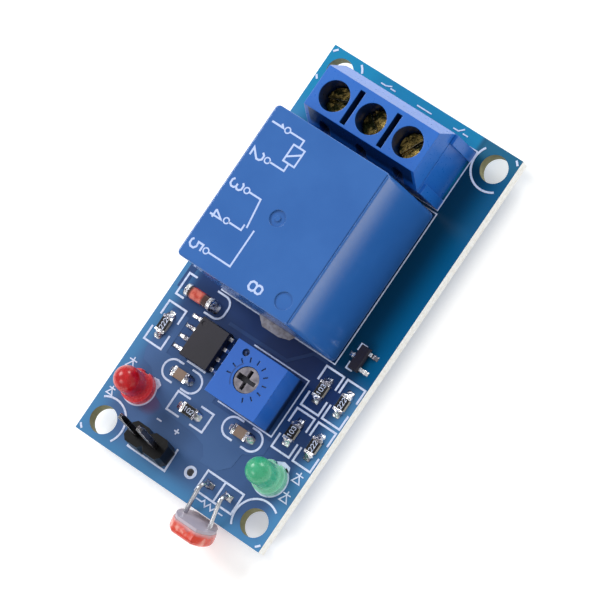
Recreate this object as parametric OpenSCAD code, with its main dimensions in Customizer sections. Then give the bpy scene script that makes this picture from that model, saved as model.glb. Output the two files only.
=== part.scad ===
// Light-switched relay module on a small circuit board. Millimetres.
// Origin: centre of the four fixing holes on the underside of the board.
// X runs across the board, Y along it towards the screw terminals, Z up from the component side.

/* [Circuit board] */
// Width of the board, along X
board_w = 26; // [25.6:0.1:30]
// Length of the board, along Y
board_l = 50; // [49.6:0.1:54]
// Thickness of the board
board_t = 1.6; // [1:0.1:2.4]
// Distance between fixing holes across the board
hole_pitch_x = 21.4; // [21:0.1:22]
// Distance between fixing holes along the board
hole_pitch_y = 45.3; // [45:0.1:46]
// Diameter of a fixing hole
hole_d = 3.2; // [2.5:0.1:3.4]
// Diameter of the spare plated hole beside the header
via_d = 0.8; // [0.5:0.1:1]
// Length of the trimmed leads under the board
tail = 1.9; // [1.4:0.1:3]

/* [Relay] */
// Place of the relay across the board
relay_x = 0.28; // [0:0.02:0.5]
// Place of the face of the relay that looks at the small components
relay_front = -3.9; // [-4:0.05:-3.8]
// Width of the relay cover
relay_w = 15.5; // [15.4:0.1:15.8]
// Length of the relay cover
relay_l = 19.1; // [19:0.1:19.2]
// Height of the relay above the board
relay_h = 15.3; // [15:0.1:18]
// Wall of the relay cover
relay_wall = 0.8; // [0.6:0.05:0.9]
// Radius of the upright corners of the cover
relay_edge_r = 0.55; // [0.3:0.05:0.7]
// Radius of the upper edges of the cover
relay_top_r = 0.2; // [0.1:0.05:0.3]
// Lean of each cover wall, from its foot to its top
relay_draft = 0.08; // [0:0.02:0.2]
// Thickness of the base plate
relay_base_t = 1.2; // [0.8:0.1:1.4]
// Radius of the coil winding
coil_r = 4.4; // [3.6:0.1:4.5]
// Radius of the iron core
core_r = 1.9; // [1.4:0.1:2]
// Thickness of the yoke
yoke_t = 1; // [0.7:0.1:1.1]
// Thickness of the armature plate
armature_t = 0.9; // [0.6:0.1:1]
// Angle that the armature swings through when the relay switches
armature_swing = 3.8; // [3:0.1:4.2]

/* [Terminal block] */
// Place of the terminal block across the board
term_x = 0.09; // [0:0.01:0.2]
// Gap between the relay and the terminal block
term_gap = 0.55; // [0.5:0.05:0.8]
// Distance between poles
pole_pitch = 5; // [5:0.01:5.08]
// Depth of the housing, along Y
term_d = 7.5; // [7.4:0.05:7.6]
// Height of the housing
term_h = 10; // [9.8:0.1:12]
// Diameter of a screw well
well_d = 3.55; // [3.4:0.05:3.6]
// Depth of a screw head below the top of the housing
well_depth = 2.3; // [1.8:0.1:2.6]
// Travel of a clamp cage
cage_travel = 1.6; // [1:0.1:1.6]

/* [Trimmer] */
// Place of the trimmer across the board
trim_x = 2.8; // [2.7:0.05:3]
// Place of the trimmer along the board
trim_y = -10.65; // [-10.7:0.05:-10.5]
// Width of the trimmer, along X
trim_w = 6.8; // [6.6:0.1:7]
// Depth of the trimmer, along Y
trim_l = 6.6; // [6.4:0.1:7]
// Height of the trimmer
trim_h = 4.9; // [4.6:0.1:6]
// Diameter of the visible face of the rotor
rotor_d = 2.9; // [2.4:0.1:3.2]
// Turn of the cross slot at rest, in degrees
rotor_angle = 28; // [0:1:90]

/* [Header and photocell] */
// Place of the two-pin header across the board
header_x = -3.94; // [-4.1:0.02:-3.8]
// Place of the two-pin header along the board
header_y = -22.15; // [-22.3:0.05:-22]
// Lean of the header towards the middle of the board, in degrees
header_lean = 6.5; // [0:0.5:8]
// Length of a header pin above the board
header_pin_h = 8.6; // [6:0.1:10]
// Place of the photocell leads across the board
cell_x = 5.25; // [5.1:0.05:5.4]
// Place of the photocell leads along the board
cell_y = -22; // [-22.2:0.05:-21.8]
// Diameter of the photocell
cell_d = 5.1; // [4.9:0.1:5.4]
// Height of the photocell across its flats
cell_flats = 4.3; // [4.1:0.1:4.6]
// Angle of the back of the photocell above the horizontal
cell_lean = 22; // [10:1:24]
// Diameter of a photocell lead
cell_wire_d = 0.5; // [0.4:0.05:0.55]

/* [Indicator lamps] */
// Place of the red lamp across the board
red_x = -9.3; // [-9.5:0.05:-9.2]
// Place of the red lamp along the board
red_y = -17.6; // [-17.7:0.05:-17.4]
// Place of the green lamp across the board
green_x = 9.4; // [9.3:0.05:9.6]
// Place of the green lamp along the board
green_y = -17.8; // [-17.9:0.05:-17.6]
// Diameter of a lamp lens
lens_d = 3; // [2.8:0.1:3.1]
// Height of a lamp above the board
lens_h = 5.3; // [4.8:0.1:7]

/* [Small components] */
// Length of a chip resistor or capacitor
chip_l = 2; // [1.8:0.1:2.2]
// Width of a chip resistor or capacitor
chip_w = 1.25; // [1.1:0.05:1.3]
// Height of a chip resistor
resistor_h = 0.5; // [0.4:0.05:0.65]
// Height of a chip capacitor
capacitor_h = 0.8; // [0.6:0.05:1.1]
// Width of the metal end of a chip
chip_cap = 0.35; // [0.25:0.05:0.45]
// Reach of a solder fillet past a chip end
fillet_l = 0.7; // [0.4:0.05:0.8]
// Length of the glass diode
diode_l = 3.5; // [3.3:0.1:3.6]
// Diameter of the glass diode
diode_d = 1.5; // [1.3:0.05:1.6]
// Length of the comparator case
chip8_l = 4.9; // [4.8:0.05:5]
// Width of the comparator case
chip8_w = 3.9; // [3.8:0.05:4]
// Height of the comparator case
chip8_h = 1.5; // [1.3:0.05:1.7]

/* [Hidden] */
$fn = 48;
eps = 0.01;
play = 0.1; // clearance between pieces that slide past each other
running = 0.05; // radial clearance of a shaft in its hole

lead_pitch = 2.54;

// Relay, measured from the middle of its foot on the board
relay_y = relay_front + relay_l / 2;
relay_foot = 0.25;
relay_pin_x = relay_w / 2 - 1.75;
contact_y = relay_l / 2 - 2.45;
yoke_y = 2.6 - relay_l / 2; // outer face of the upright leg of the yoke
coil_pin_y = yoke_y + 1.85;
relay_pin_d = 0.7;
relay_room_w = relay_w - 2 * (relay_wall + relay_draft);
relay_room_l = relay_l - 2 * (relay_wall + relay_draft);
relay_floor = relay_foot + 0.15 + relay_base_t;
strip_t = 0.3; // contact strip
strip_w = 1;
button_h = 0.25;
button_r = 0.8;
contact_gap = 0.05;
arm_w = 1.6; // width of the arm that carries a fixed contact
leaf_t = 0.25;
leaf_w = 3;
leaf_pad = [5.6, 3.2, leaf_t];
rivet_x = 2;
rivet_r = 0.5;
yoke_w = 8;
armature_rest = armature_swing + 0.2;
arm_span = contact_y - yoke_y;
lift = arm_span * sin(armature_rest);
closed_strip_z = relay_h - relay_wall - 0.3 - strip_t;
pivot_z = closed_strip_z - button_h - contact_gap - button_h - lift - leaf_t - armature_t
    - button_r * sin(armature_rest);
yoke_top = pivot_z - 0.1;
open_strip_z = pivot_z + armature_t - 2 * button_h - contact_gap - strip_t;
flange_t = 0.7;
flange_w = 2 * relay_pin_x + 1;
bobbin_low = relay_floor + yoke_t;
bobbin_high = yoke_top - 0.5;
tube_r = core_r + 0.5;
coil_y = yoke_y + yoke_t + 0.1 + coil_r + 0.2;
pole_r = 3.1;
armature_reach = coil_y + pole_r - yoke_y;
rivet_y = armature_reach * 0.55;
common_pin_t = 0.3;
common_head = [3, common_pin_t, 2]; // where the common pin is joined to the yoke

// Terminal block, measured from the middle of its foot on the board
poles = 3; // NODES names a screw and a cage for each
term_y = relay_front + relay_l + term_gap + term_d / 2;
term_w = poles * pole_pitch;
well_y = -0.15;
term_top_front = 1.25 - term_d / 2;
term_top_back = term_d / 2 - 1.35;
term_shoulder = term_h - 3.6;
head_h = 1;
head_r = well_d / 2 - 0.15;
ledge_z = term_h - well_depth - head_h;
ledge_t = 0.6;
room_top = ledge_z - ledge_t;
cage_w = 3.4;
cage_l = 3.2;
cage_side = 0.4;
shank_r = cage_w / 2 - cage_side - running;
cage_floor = 0.8;
cage_roof = 0.9;
cage_rest = 0.55;
tongue_t = 0.5;
cage_h = room_top - 0.05 - cage_travel - cage_rest;
cage_roof_z = cage_rest + cage_h - cage_roof;
tongue_z = cage_roof_z - 0.05 - tongue_t;
tongue_w = 2;
tongue_gap = 0.35; // from the upright of a tongue to its cage
tongue_y = well_y - cage_l / 2 - tongue_gap - tongue_t;
pole_pin_d = 1;
screw_turns = [20, -35, 62]; // degrees

// Trimmer, measured from the middle of its foot on the board
trim_skin = 0.7;
neck_r = rotor_d / 2;
disc_r = neck_r + 0.9;
element_t = 0.7;
element_z = 0.9;
rotor_low = element_z + element_t + 0.55;
rotor_high = trim_h - trim_skin - 0.1;
track_r = 1.7; // middle of the resistive track
trim_turn = 252; // degrees from one end of the dial to the other
dial_turn = -28; // middle of the dial
trim_pins = [[-lead_pitch, -1.3], [0, 1.3], [lead_pitch, -1.3]];
trim_pin_d = 0.5;

// Header, photocell and lamps
header_pin_w = 0.64;
block_h = 2.54;
header_poles = 2;
cell_t = 1.3;
cell_skin = 0.15;
cell_front = 0.7;
contact_pitch = 3.4;
cell_reach = 3.85; // from the lead holes to the back of the cell
cell_drop = 0.4; // height of the middle of that back above the board
wire_bend = 0.85; // radius of the bend in each lead
flange_r = lens_d / 2 + 0.4;
flange_h = 1;
lamp_lead = 0.5;

// Small components: [x, y, turn]
resistors = [[-10.97, -10.46, 90], [8.65, -7, 90], [11.56, -7, 90],
    [8.58, -12.44, 90], [11.55, -12.46, 90], [-2.74, -16.72, 0]];
capacitors = [[-5.85, -14.05, 0], [3.8, -15.58, 0]];
chip8_at = [-5.2, -9.8];
chip8_pitch = 1.27;
chip8_pads = 3.75; // from the middle of the case to the end of a soldered pad
diode_at = [-9.02, -5.95];
diode_cap = 0.45;
transistor_at = [10.4, -2];
transistor_l = 2.9;
transistor_w = 1.3;
transistor_h = 1;
leg_pitch = 1.9;
leg_sides = [[0, -leg_pitch / 2], [0, leg_pitch / 2], [180, 0]]; // [turn, distance along Y]
leg_shift = -0.35; // its legs are that much shorter than the comparator's
gull_t = 0.2;
gull_w = 0.42;
gull_reach = 1.05; // from the wall of a case to the toe of its leads
gull_pad_w = 0.6;
via_at = [1.3, -22.05];

function gull_out(case_w) = case_w / 2 + gull_reach;
function pole_x(i) = (i - (poles - 1) / 2) * pole_pitch;
function pitch_x(i, count) = (i - (count - 1) / 2) * lead_pitch;

// Every lead that goes through the board: [x, y, radius of its hole]
relay_holes = concat(
    [for (side = [-1, 1]) [relay_x + side * relay_pin_x, relay_y + coil_pin_y, relay_pin_d / 2 + 0.2]],
    [for (side = [-1, 1]) [relay_x + side * relay_pin_x, relay_y + contact_y, strip_w / 2 + 0.2]],
    [[relay_x, relay_y + yoke_y - common_pin_t / 2, strip_w / 2 + 0.2]]);
term_holes = [for (i = [0:poles - 1])
    [term_x + pole_x(i), term_y + tongue_y + tongue_t / 2, pole_pin_d / 2 + 0.15]];
trim_holes = [for (p = trim_pins) [trim_x + p[0], trim_y + p[1], trim_pin_d / 2 + 0.15]];
header_holes = [for (i = [0:header_poles - 1])
    [header_x + pitch_x(i, header_poles), header_y, header_pin_w / 2 + 0.3]];
cell_holes = [for (i = [0, 1]) [cell_x + pitch_x(i, 2), cell_y, cell_wire_d / 2 + 0.15]];
lamp_holes = [for (at = [[red_x, red_y], [green_x, green_y]], i = [0, 1])
    [at[0], at[1] + pitch_x(i, 2), lamp_lead / 2 + 0.2]];
lead_holes = concat(relay_holes, term_holes, trim_holes, header_holes, cell_holes, lamp_holes);

module on_board(x = 0, y = 0) {
    translate([x, y, board_t]) children();
}

module block(size, at = [0, 0, 0]) {
    translate([at[0] - size[0] / 2, at[1] - size[1] / 2, at[2]]) cube(size);
}

module post(r, low, high) {
    translate([0, 0, low]) cylinder(r = r, h = high - low);
}

// A box with round upright corners and a smaller round along its upper edges, leaning in by draft
module rounded_case(w, l, low, high, r, top_r, draft) {
    hull() {
        for (sx = [-1, 1], sy = [-1, 1]) {
            translate([sx * (w / 2 - r), sy * (l / 2 - r), low]) cylinder(r = r, h = eps, $fn = 32);
            translate([sx * (w / 2 - r - draft), sy * (l / 2 - r - draft), high - top_r])
                rotate_extrude($fn = 32) intersection() {
                    translate([r - top_r, 0]) circle(r = top_r, $fn = 24);
                    square([r, top_r]);
                }
        }
    }
}

// Half of a section between two heights, with round outer corners
module round_section(reach, low, high, r) {
    translate([0, low]) square([reach - r, high - low]);
    translate([0, low + r]) square([reach, high - low - 2 * r]);
    for (z = [low + r, high - r]) translate([reach - r, z]) circle(r = r);
}

// A round wire swept along points, closed at both ends
module wire(points, r, sides = 10) {
    last = len(points) - 1;
    ahead = [for (i = [0:last]) points[min(i + 1, last)] - points[max(i - 1, 0)]];
    rings = [for (i = [0:last])
        let (d = ahead[i] / norm(ahead[i]), u = cross(d, [1, 0, 0]) / norm(cross(d, [1, 0, 0])),
            v = cross(d, u))
        [for (k = [0:sides - 1]) points[i] + r * (cos(360 * k / sides) * u + sin(360 * k / sides) * v)]];
    skin = [for (i = [0:last - 1], k = [0:sides - 1], half = [0, 1])
        let (n = (k + 1) % sides, low = i * sides, high = (i + 1) * sides)
        half == 0 ? [low + k, low + n, high + n] : [low + k, high + n, high + k]];
    ends = [[for (k = [sides - 1:-1:0]) k], [for (k = [0:sides - 1]) last * sides + k]];
    polyhedron(points = [for (ring = rings, p = ring) p], faces = concat(skin, ends), convexity = 4);
}

module circuit_board() {
    color("teal") difference() {
        block([board_w, board_l, board_t]);
        for (sx = [-1, 1], sy = [-1, 1])
            translate([sx * hole_pitch_x / 2, sy * hole_pitch_y / 2, 0]) post(hole_d / 2, -1, board_t + 1);
        translate(via_at) post(via_d / 2, -1, board_t + 1);
        for (h = lead_holes) translate([h[0], h[1], 0]) post(h[2], -1, board_t + 1);
    }
}

// One soldered joint under the board: a collar with a hollow flank, and the fill of the hole
module solder_joint(r) {
    collar = r + 0.45;
    rise = 1.1;
    rotate_extrude() difference() {
        union() {
            translate([0, -rise]) square([collar, rise]);
            square([r - 0.02, board_t]);
        }
        translate([collar + 0.25, -rise - 0.2]) circle(r = rise);
    }
}

module through_solder() {
    color("lightgray") difference() {
        for (h = lead_holes) translate([h[0], h[1], 0]) solder_joint(h[2]);
        relay_coil_pins();
        relay_common_pin();
        for (side = [-1, 1]) contact_tail(side);
        tongue_tails();
        trimmer_pins();
        header_pins();
        cell_tails();
        for (at = [[red_x, red_y], [green_x, green_y]]) lamp_tails(at);
    }
}

// A wedge of solder that climbs from the board to the end of a chip
module fillet(w, l, h) {
    rotate([90, 0, 0]) linear_extrude(w, center = true)
        polygon([[0, 0], [l, 0], [l, 0.06], [l * 0.45, h * 0.3], [l * 0.15, h * 0.65], [0, h]]);
}

module chip_fillets(w, l, h) {
    for (side = [0, 180]) rotate([0, 0, side]) translate([chip_l / 2, 0, 0]) fillet(w, l, h);
}

module surface_solder() {
    color("silver") on_board() {
        for (c = resistors) translate([c[0], c[1], 0]) rotate([0, 0, c[2]])
            chip_fillets(chip_w, fillet_l, resistor_h * 0.85);
        for (c = capacitors) translate([c[0], c[1], 0]) rotate([0, 0, c[2]])
            chip_fillets(chip_w, fillet_l, capacitor_h * 0.7);
        translate(chip8_at) for (side = [0, 180], i = [0:3]) rotate([0, 0, side])
            translate([gull_out(chip8_w), (i - 1.5) * chip8_pitch, 0])
            fillet(gull_pad_w, chip8_pads - gull_out(chip8_w), gull_t);
        translate(diode_at) for (side = [0, 180]) rotate([0, 0, side])
            translate([diode_l / 2, 0, 0]) fillet(diode_d * 0.8, diode_d / 3, diode_d * 0.6);
        translate(transistor_at) for (leg = leg_sides) translate([0, leg[1], 0])
            rotate([0, 0, leg[0]]) translate([gull_out(transistor_w) + leg_shift, 0, 0])
            fillet(gull_pad_w, -leg_shift, gull_t);
    }
}

// Relay

module relay_cover() {
    gate_at = [-0.18, -0.7];
    gate_r = 0.93;
    gate_depth = 0.2;
    dot_at = [relay_w / 2 - 2.08, 2 - relay_l / 2];
    dot_r = 1;
    dot_depth = 0.15;
    groove = 0.1;
    groove_x = relay_w / 2 - relay_draft - relay_top_r - groove / 2;
    color("royalblue") on_board(relay_x, relay_y) difference() {
        rounded_case(relay_w, relay_l, relay_foot, relay_h, relay_edge_r, relay_top_r, relay_draft);
        block([relay_room_w, relay_room_l, relay_h - relay_wall], [0, 0, 0]);
        translate(gate_at) difference() {
            post(gate_r, relay_h - gate_depth, relay_h + 1);
            post(gate_r / 3, relay_h - gate_depth - 0.1, relay_h - gate_depth / 4); // pip
        }
        translate(dot_at) post(dot_r, relay_h - dot_depth, relay_h + 1);
        block([groove, relay_l + 1, 1], [groove_x, 0, relay_h - groove]);
    }
}

module relay_base() {
    stand_r = 0.6;
    color("midnightblue") on_board(relay_x, relay_y) difference() {
        union() {
            block([relay_room_w - play, relay_room_l - play, relay_base_t], [0, 0, relay_floor - relay_base_t]);
            for (sx = [-1, 1], sy = [-1, 1])
                translate([sx * relay_pin_x / 2, sy * (relay_l / 2 - 2), 0])
                    post(stand_r, 0, relay_floor - relay_base_t / 2);
        }
        for (side = [-1, 1]) {
            translate([side * relay_pin_x, coil_pin_y, 0]) post(relay_pin_d / 2 + running, -1, relay_floor + 1);
            block([strip_w + play, strip_t + play, relay_floor + 2], [side * relay_pin_x, contact_y, -1]);
        }
        block([strip_w + play, common_pin_t + play, relay_floor + 2], [0, yoke_y - common_pin_t / 2, -1]);
    }
}

module relay_bobbin() {
    flange_l = 2 * coil_r + 0.4;
    color("white") on_board(relay_x, relay_y) difference() {
        union() {
            translate([0, coil_y, 0]) post(tube_r, bobbin_low, bobbin_high);
            block([flange_w, flange_l, flange_t], [0, coil_y, bobbin_low]);
            block([2 * coil_r + 1, flange_l, flange_t], [0, coil_y, bobbin_high - flange_t]);
        }
        translate([0, coil_y, 0]) post(core_r, bobbin_low - 1, bobbin_high + 1);
        for (side = [-1, 1]) translate([side * relay_pin_x, coil_pin_y, 0])
            post(relay_pin_d / 2 + running, bobbin_low - 1, bobbin_low + flange_t + 1);
    }
}

module relay_winding() {
    color("peru") on_board(relay_x, relay_y) translate([0, coil_y, 0]) difference() {
        post(coil_r, bobbin_low + flange_t, bobbin_high - flange_t);
        post(tube_r, bobbin_low, bobbin_high);
    }
}

module relay_core() {
    color("gray") on_board(relay_x, relay_y) translate([0, coil_y, 0]) {
        post(core_r, relay_floor, bobbin_high);
        post(pole_r, bobbin_high, yoke_top);
    }
}

module relay_yoke() {
    color("silver") on_board(relay_x, relay_y) difference() {
        union() {
            block([yoke_w, yoke_t, yoke_top - relay_floor], [0, yoke_y + yoke_t / 2, relay_floor]);
            block([yoke_w, armature_reach, yoke_t], [0, yoke_y + armature_reach / 2, relay_floor]);
        }
        translate([0, coil_y, 0]) post(core_r, relay_floor - 1, relay_floor + yoke_t + 1);
    }
}

// Pieces on the armature are drawn closed, then swung open about the top edge of the yoke
module swung_open() {
    on_board(relay_x, relay_y) translate([0, yoke_y, pivot_z]) rotate([armature_rest, 0, 0]) children();
}

module relay_armature() {
    plate_w = yoke_w - 0.6;
    notch = [1.6, 2.4, armature_t * 2];
    color("silver") swung_open() difference() {
        union() {
            block([plate_w, armature_reach, armature_t], [0, armature_reach / 2, 0]);
            for (sx = [-1, 1]) translate([sx * rivet_x, rivet_y, 0])
                post(rivet_r, 0, armature_t + leaf_t + 0.15);
        }
        for (sx = [-1, 1]) block(notch, [sx * plate_w / 2, notch[1] / 4, -armature_t / 2]);
    }
}

module relay_moving_contact() {
    leaf_end = arm_span + button_r + 0.2;
    color("goldenrod") swung_open() difference() {
        union() {
            block(leaf_pad, [0, rivet_y, armature_t]);
            block([leaf_w, leaf_end - rivet_y, leaf_t], [0, (leaf_end + rivet_y) / 2, armature_t]);
            translate([0, arm_span, armature_t]) post(button_r, -button_h, leaf_t + button_h);
        }
        for (sx = [-1, 1]) translate([sx * rivet_x, rivet_y, 0]) post(rivet_r, 0, armature_t + 2);
    }
}

// The tail of a contact strip, from under the board to the underside of its arm
module contact_tail(side) {
    on_board(relay_x, relay_y)
        block([strip_w, strip_t, tail + board_t + relay_floor],
            [side * relay_pin_x, contact_y, -tail - board_t]);
}

module contact_strip(side, arm_z, button_z) {
    contact_tail(side);
    on_board(relay_x, relay_y) {
        block([strip_w, strip_t, arm_z + strip_t - relay_floor + 1], [side * relay_pin_x, contact_y, relay_floor - 1]);
        block([relay_pin_x + button_r + strip_w / 2, arm_w, strip_t],
            [side * (relay_pin_x - button_r + strip_w / 2) / 2, contact_y, arm_z]);
        translate([0, contact_y, 0]) post(button_r, button_z, button_z + button_h);
    }
}

module relay_open_contact() {
    color("darkgoldenrod") contact_strip(1, open_strip_z, open_strip_z + strip_t);
}

module relay_closed_contact() {
    color("darkgoldenrod") contact_strip(-1, closed_strip_z, closed_strip_z - button_h);
}

module relay_coil_pins() {
    color("silver") on_board(relay_x, relay_y) for (side = [-1, 1])
        translate([side * relay_pin_x, coil_pin_y, 0])
            post(relay_pin_d / 2, -board_t - tail, bobbin_low + flange_t + 0.6);
}

module relay_common_pin() {
    color("silver") on_board(relay_x, relay_y) {
        block([strip_w, common_pin_t, board_t + tail + relay_floor + yoke_t + common_head[2]],
            [0, yoke_y - common_pin_t / 2, -board_t - tail]);
        block(common_head, [0, yoke_y - common_pin_t / 2, relay_floor + yoke_t]);
    }
}

// Terminal block

module in_poles() {
    on_board(term_x, term_y) for (i = [0:poles - 1]) translate([pole_x(i), 0, 0]) children();
}

module terminal_profile() {
    polygon([[-term_d / 2, 0], [term_d / 2, 0], [term_d / 2 - 0.15, term_shoulder],
        [term_top_back, term_h], [term_top_front, term_h], [-term_d / 2, term_shoulder]]);
}

// Room for one clamp: cage shaft, ledge, screw well, wire entry and probe slot
module pole_cuts() {
    room_w = cage_w + 2 * play;
    room_back = well_y + cage_l / 2 + play;
    room_front = tongue_y - 0.05;
    entry_w = 2.6;
    entry_low = cage_rest + cage_floor;
    entry_h = tongue_z - entry_low;
    funnel = 0.5;
    arch_r = 0.7;
    arch_h = 1.5;
    arch_depth = 0.8;
    block([room_w, room_back - room_front, room_top + 1], [0, (room_back + room_front) / 2, -1]);
    translate([0, well_y, 0]) {
        post(shank_r + play, room_top - 1, term_h);
        post(well_d / 2, ledge_z, term_h + 1);
    }
    block([entry_w, term_d, entry_h], [0, room_back + term_d / 2 - 0.5, entry_low]);
    block([entry_w + 2 * funnel, 1, entry_h + 2 * funnel], [0, term_d / 2 + 0.2, entry_low - funnel]);
    translate([0, -term_d / 2, term_shoulder]) {
        block([2 * arch_r, 2 * arch_depth, arch_h + 0.7], [0, 0, -0.7]);
        translate([0, 0, arch_h]) rotate([90, 0, 0]) cylinder(r = arch_r, h = 2 * arch_depth, center = true);
    }
}

module terminal_housing() {
    slot = [0.7, term_d - 3.35, 2.5];
    key = [0.35, 1.2, term_h - 3.9];
    seam = [0.12, 0.16];
    color("dodgerblue") on_board(term_x, term_y) difference() {
        union() {
            rotate([90, 0, 90]) linear_extrude(term_w, center = true) terminal_profile();
            block([2 * key[0], key[1], key[2]], [term_w / 2, key[1] / 2 - term_d / 2, 0]);
            block([2 * key[0], key[1], term_shoulder], [term_w / 2, term_d / 2 - key[1] / 2 - 0.15, 0]);
        }
        block([2 * key[0] + play, key[1] + play, key[2] + 1 + play],
            [-term_w / 2, (key[1] - term_d - play) / 2, -1]);
        block([2 * key[0] + play, key[1] + play, term_shoulder + 1 + play],
            [-term_w / 2, (term_d - key[1]) / 2 - 0.15 + play, -1]);
        block([2 * seam[0], term_d + 1, seam[1]], [term_w / 2, 0, term_shoulder]);
        for (i = [0:poles - 1]) translate([pole_x(i), 0, 0]) pole_cuts();
        for (i = [1:poles - 1])
            block(slot, [(pole_x(i) + pole_x(i - 1)) / 2, well_y, term_h - slot[2] + 0.01]);
    }
}

module tongue_tails() {
    in_poles() translate([0, tongue_y + tongue_t / 2, 0]) post(pole_pin_d / 2, -board_t - tail, 0.05);
}

module terminal_tongues() {
    reach = well_y + cage_l / 2 - tongue_y;
    color("silver") {
        tongue_tails();
        in_poles() {
            block([tongue_w, tongue_t, tongue_z + tongue_t], [0, tongue_y + tongue_t / 2, 0]);
            block([tongue_w, reach, tongue_t], [0, tongue_y + reach / 2, tongue_z]);
        }
    }
}

module terminal_screw(i) {
    slot_w = 0.5;
    slot_depth = 0.55;
    color("olive") on_board(term_x + pole_x(i), term_y + well_y) rotate([0, 0, screw_turns[i]]) difference() {
        union() {
            post(shank_r, cage_roof_z + 0.1, ledge_z + head_h / 2);
            post(head_r, ledge_z + 0.02, ledge_z + head_h);
        }
        block([3 * head_r, slot_w, 1], [0, 0, ledge_z + head_h - slot_depth]);
    }
}

module clamp_cage(i) {
    color("tan") on_board(term_x + pole_x(i), term_y + well_y) difference() {
        block([cage_w, cage_l, cage_h], [0, 0, cage_rest]);
        block([cage_w - 2 * cage_side, cage_l + 1, cage_h - cage_floor - cage_roof],
            [0, 0, cage_rest + cage_floor]);
        post(shank_r + running, cage_roof_z - eps, term_h);
    }
}

module terminal_screw_1() { terminal_screw(0); }
module terminal_screw_2() { terminal_screw(1); }
module terminal_screw_3() { terminal_screw(2); }
module clamp_cage_1() { clamp_cage(0); }
module clamp_cage_2() { clamp_cage(1); }
module clamp_cage_3() { clamp_cage(2); }

// Trimmer

module trimmer_housing() {
    ticks = 11;
    tick = [0.16, 0.55, 0.12];
    tick_ring = neck_r + 0.75;
    mark_at = [1.61 - trim_w / 2, trim_l / 2 - 0.87];
    mark_r = 0.42;
    mark_depth = 0.3;
    color("cornflowerblue") on_board(trim_x, trim_y) difference() {
        block([trim_w, trim_l, trim_h]);
        block([trim_w - 2 * trim_skin, trim_l - 2 * trim_skin, trim_h - trim_skin + 1], [0, 0, -1]);
        for (p = trim_pins) translate(p) post(trim_pin_d / 2 + running, -1, element_z + element_t);
        post(neck_r + running, 0, trim_h + 1);
        for (i = [0:ticks - 1]) rotate([0, 0, dial_turn + trim_turn * (0.5 - i / (ticks - 1))])
            block(tick, [0, tick_ring, trim_h - tick[2] + eps]);
        translate(mark_at) difference() {
            post(mark_r, trim_h - mark_depth, trim_h + 1);
            post(mark_r / 3, trim_h - mark_depth - 0.1, trim_h - mark_depth / 3); // pip
        }
    }
}

module trimmer_rotor() {
    arm = 0.46;
    wide_arm = 0.66;
    long_cross = 2.3;
    short_cross = 2.1;
    slot_depth = 0.8;
    face = trim_h - 0.12;
    color("lightgray") on_board(trim_x, trim_y) rotate([0, 0, rotor_angle]) difference() {
        union() {
            post(neck_r, rotor_low, face);
            post(disc_r, rotor_low, rotor_high);
        }
        block([short_cross, arm, 1], [(long_cross - short_cross) / 2, 0, face - slot_depth]);
        block([arm, long_cross, 1], [0, 0, face - slot_depth]);
        block([short_cross / 2, wide_arm, 1], [-short_cross / 3, 0, face - slot_depth]);
    }
}

// Spring contact carried under the rotor
module trimmer_wiper() {
    strap = [4, 0.8, 0.2];
    foot_z = element_z + element_t + play;
    color("goldenrod") on_board(trim_x, trim_y) rotate([0, 0, rotor_angle]) {
        post(0.5, foot_z, rotor_low);
        block(strap, [0, 0, rotor_low - strap[2]]);
        translate([track_r, 0, 0]) post(0.3, foot_z, rotor_low - strap[2] / 2);
    }
}

// Ceramic plate with the horseshoe track on it
module trimmer_element() {
    track_w = 0.8;
    track_t = 0.05;
    color("whitesmoke") on_board(trim_x, trim_y) difference() {
        union() {
            block([trim_w - 2 * trim_skin - play, trim_l - 2 * trim_skin - play, element_t], [0, 0, element_z]);
            difference() {
                post(track_r + track_w / 2, element_z, element_z + element_t + track_t);
                post(track_r - track_w / 2, element_z, element_z + 2);
                block([1.5 * track_w, 2 * track_r, 2], [0, -track_r, element_z]);
            }
        }
        for (p = trim_pins) translate(p) post(trim_pin_d / 2, -1, element_z + element_t / 2);
    }
}

module trimmer_pins() {
    color("silver") on_board(trim_x, trim_y) for (p = trim_pins)
        translate(p) post(trim_pin_d / 2, -board_t - tail, element_z + element_t / 2);
}

// Header: it was soldered leaning, so it stands on one lower edge of its block

module leaning_header() {
    on_board(header_x, header_y) translate([0, block_h / 2, 0]) rotate([-header_lean, 0, 0])
        translate([0, -block_h / 2, 0]) children();
}

module header_block() {
    notch = 0.35;
    length = header_poles * lead_pitch;
    color("#222222") leaning_header() difference() {
        block([length, block_h, block_h]);
        for (i = [0:header_poles], sy = [-1, 1])
            translate([(i - header_poles / 2) * lead_pitch, sy * block_h / 2, -1])
                rotate([0, 0, 45]) block([notch * 2, notch * 2, block_h + 2]);
        for (i = [0:header_poles - 1])
            block([header_pin_w, header_pin_w, block_h + 2], [pitch_x(i, header_poles), 0, -1]);
    }
}

module header_pins() {
    tip = 0.5;
    color("silver") leaning_header() for (i = [0:header_poles - 1]) translate([pitch_x(i, header_poles), 0, 0]) {
        block([header_pin_w, header_pin_w, header_pin_h - tip + board_t + tail - 0.5], [0, 0, 0.5 - board_t - tail]);
        for (end = [[header_pin_h - tip, 0], [0.5 - board_t - tail, 180]])
            translate([0, 0, end[0]]) rotate([end[1], 0, 0]) rotate([0, 0, 45])
                cylinder(r1 = header_pin_w / sqrt(2), r2 = header_pin_w / 3, h = tip, $fn = 4);
    }
}

// Photocell: its back faces the board, its sensing face looks out past the edge

module at_cell() {
    on_board(cell_x, cell_y - cell_reach) translate([0, 0, cell_drop]) rotate([cell_lean - 90, 0, 0]) children();
}

module cell_blank(d, flats, low, high) {
    intersection() {
        post(d / 2, low, high);
        block([2 * d, flats, high - low], [0, 0, low]);
    }
}

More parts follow.
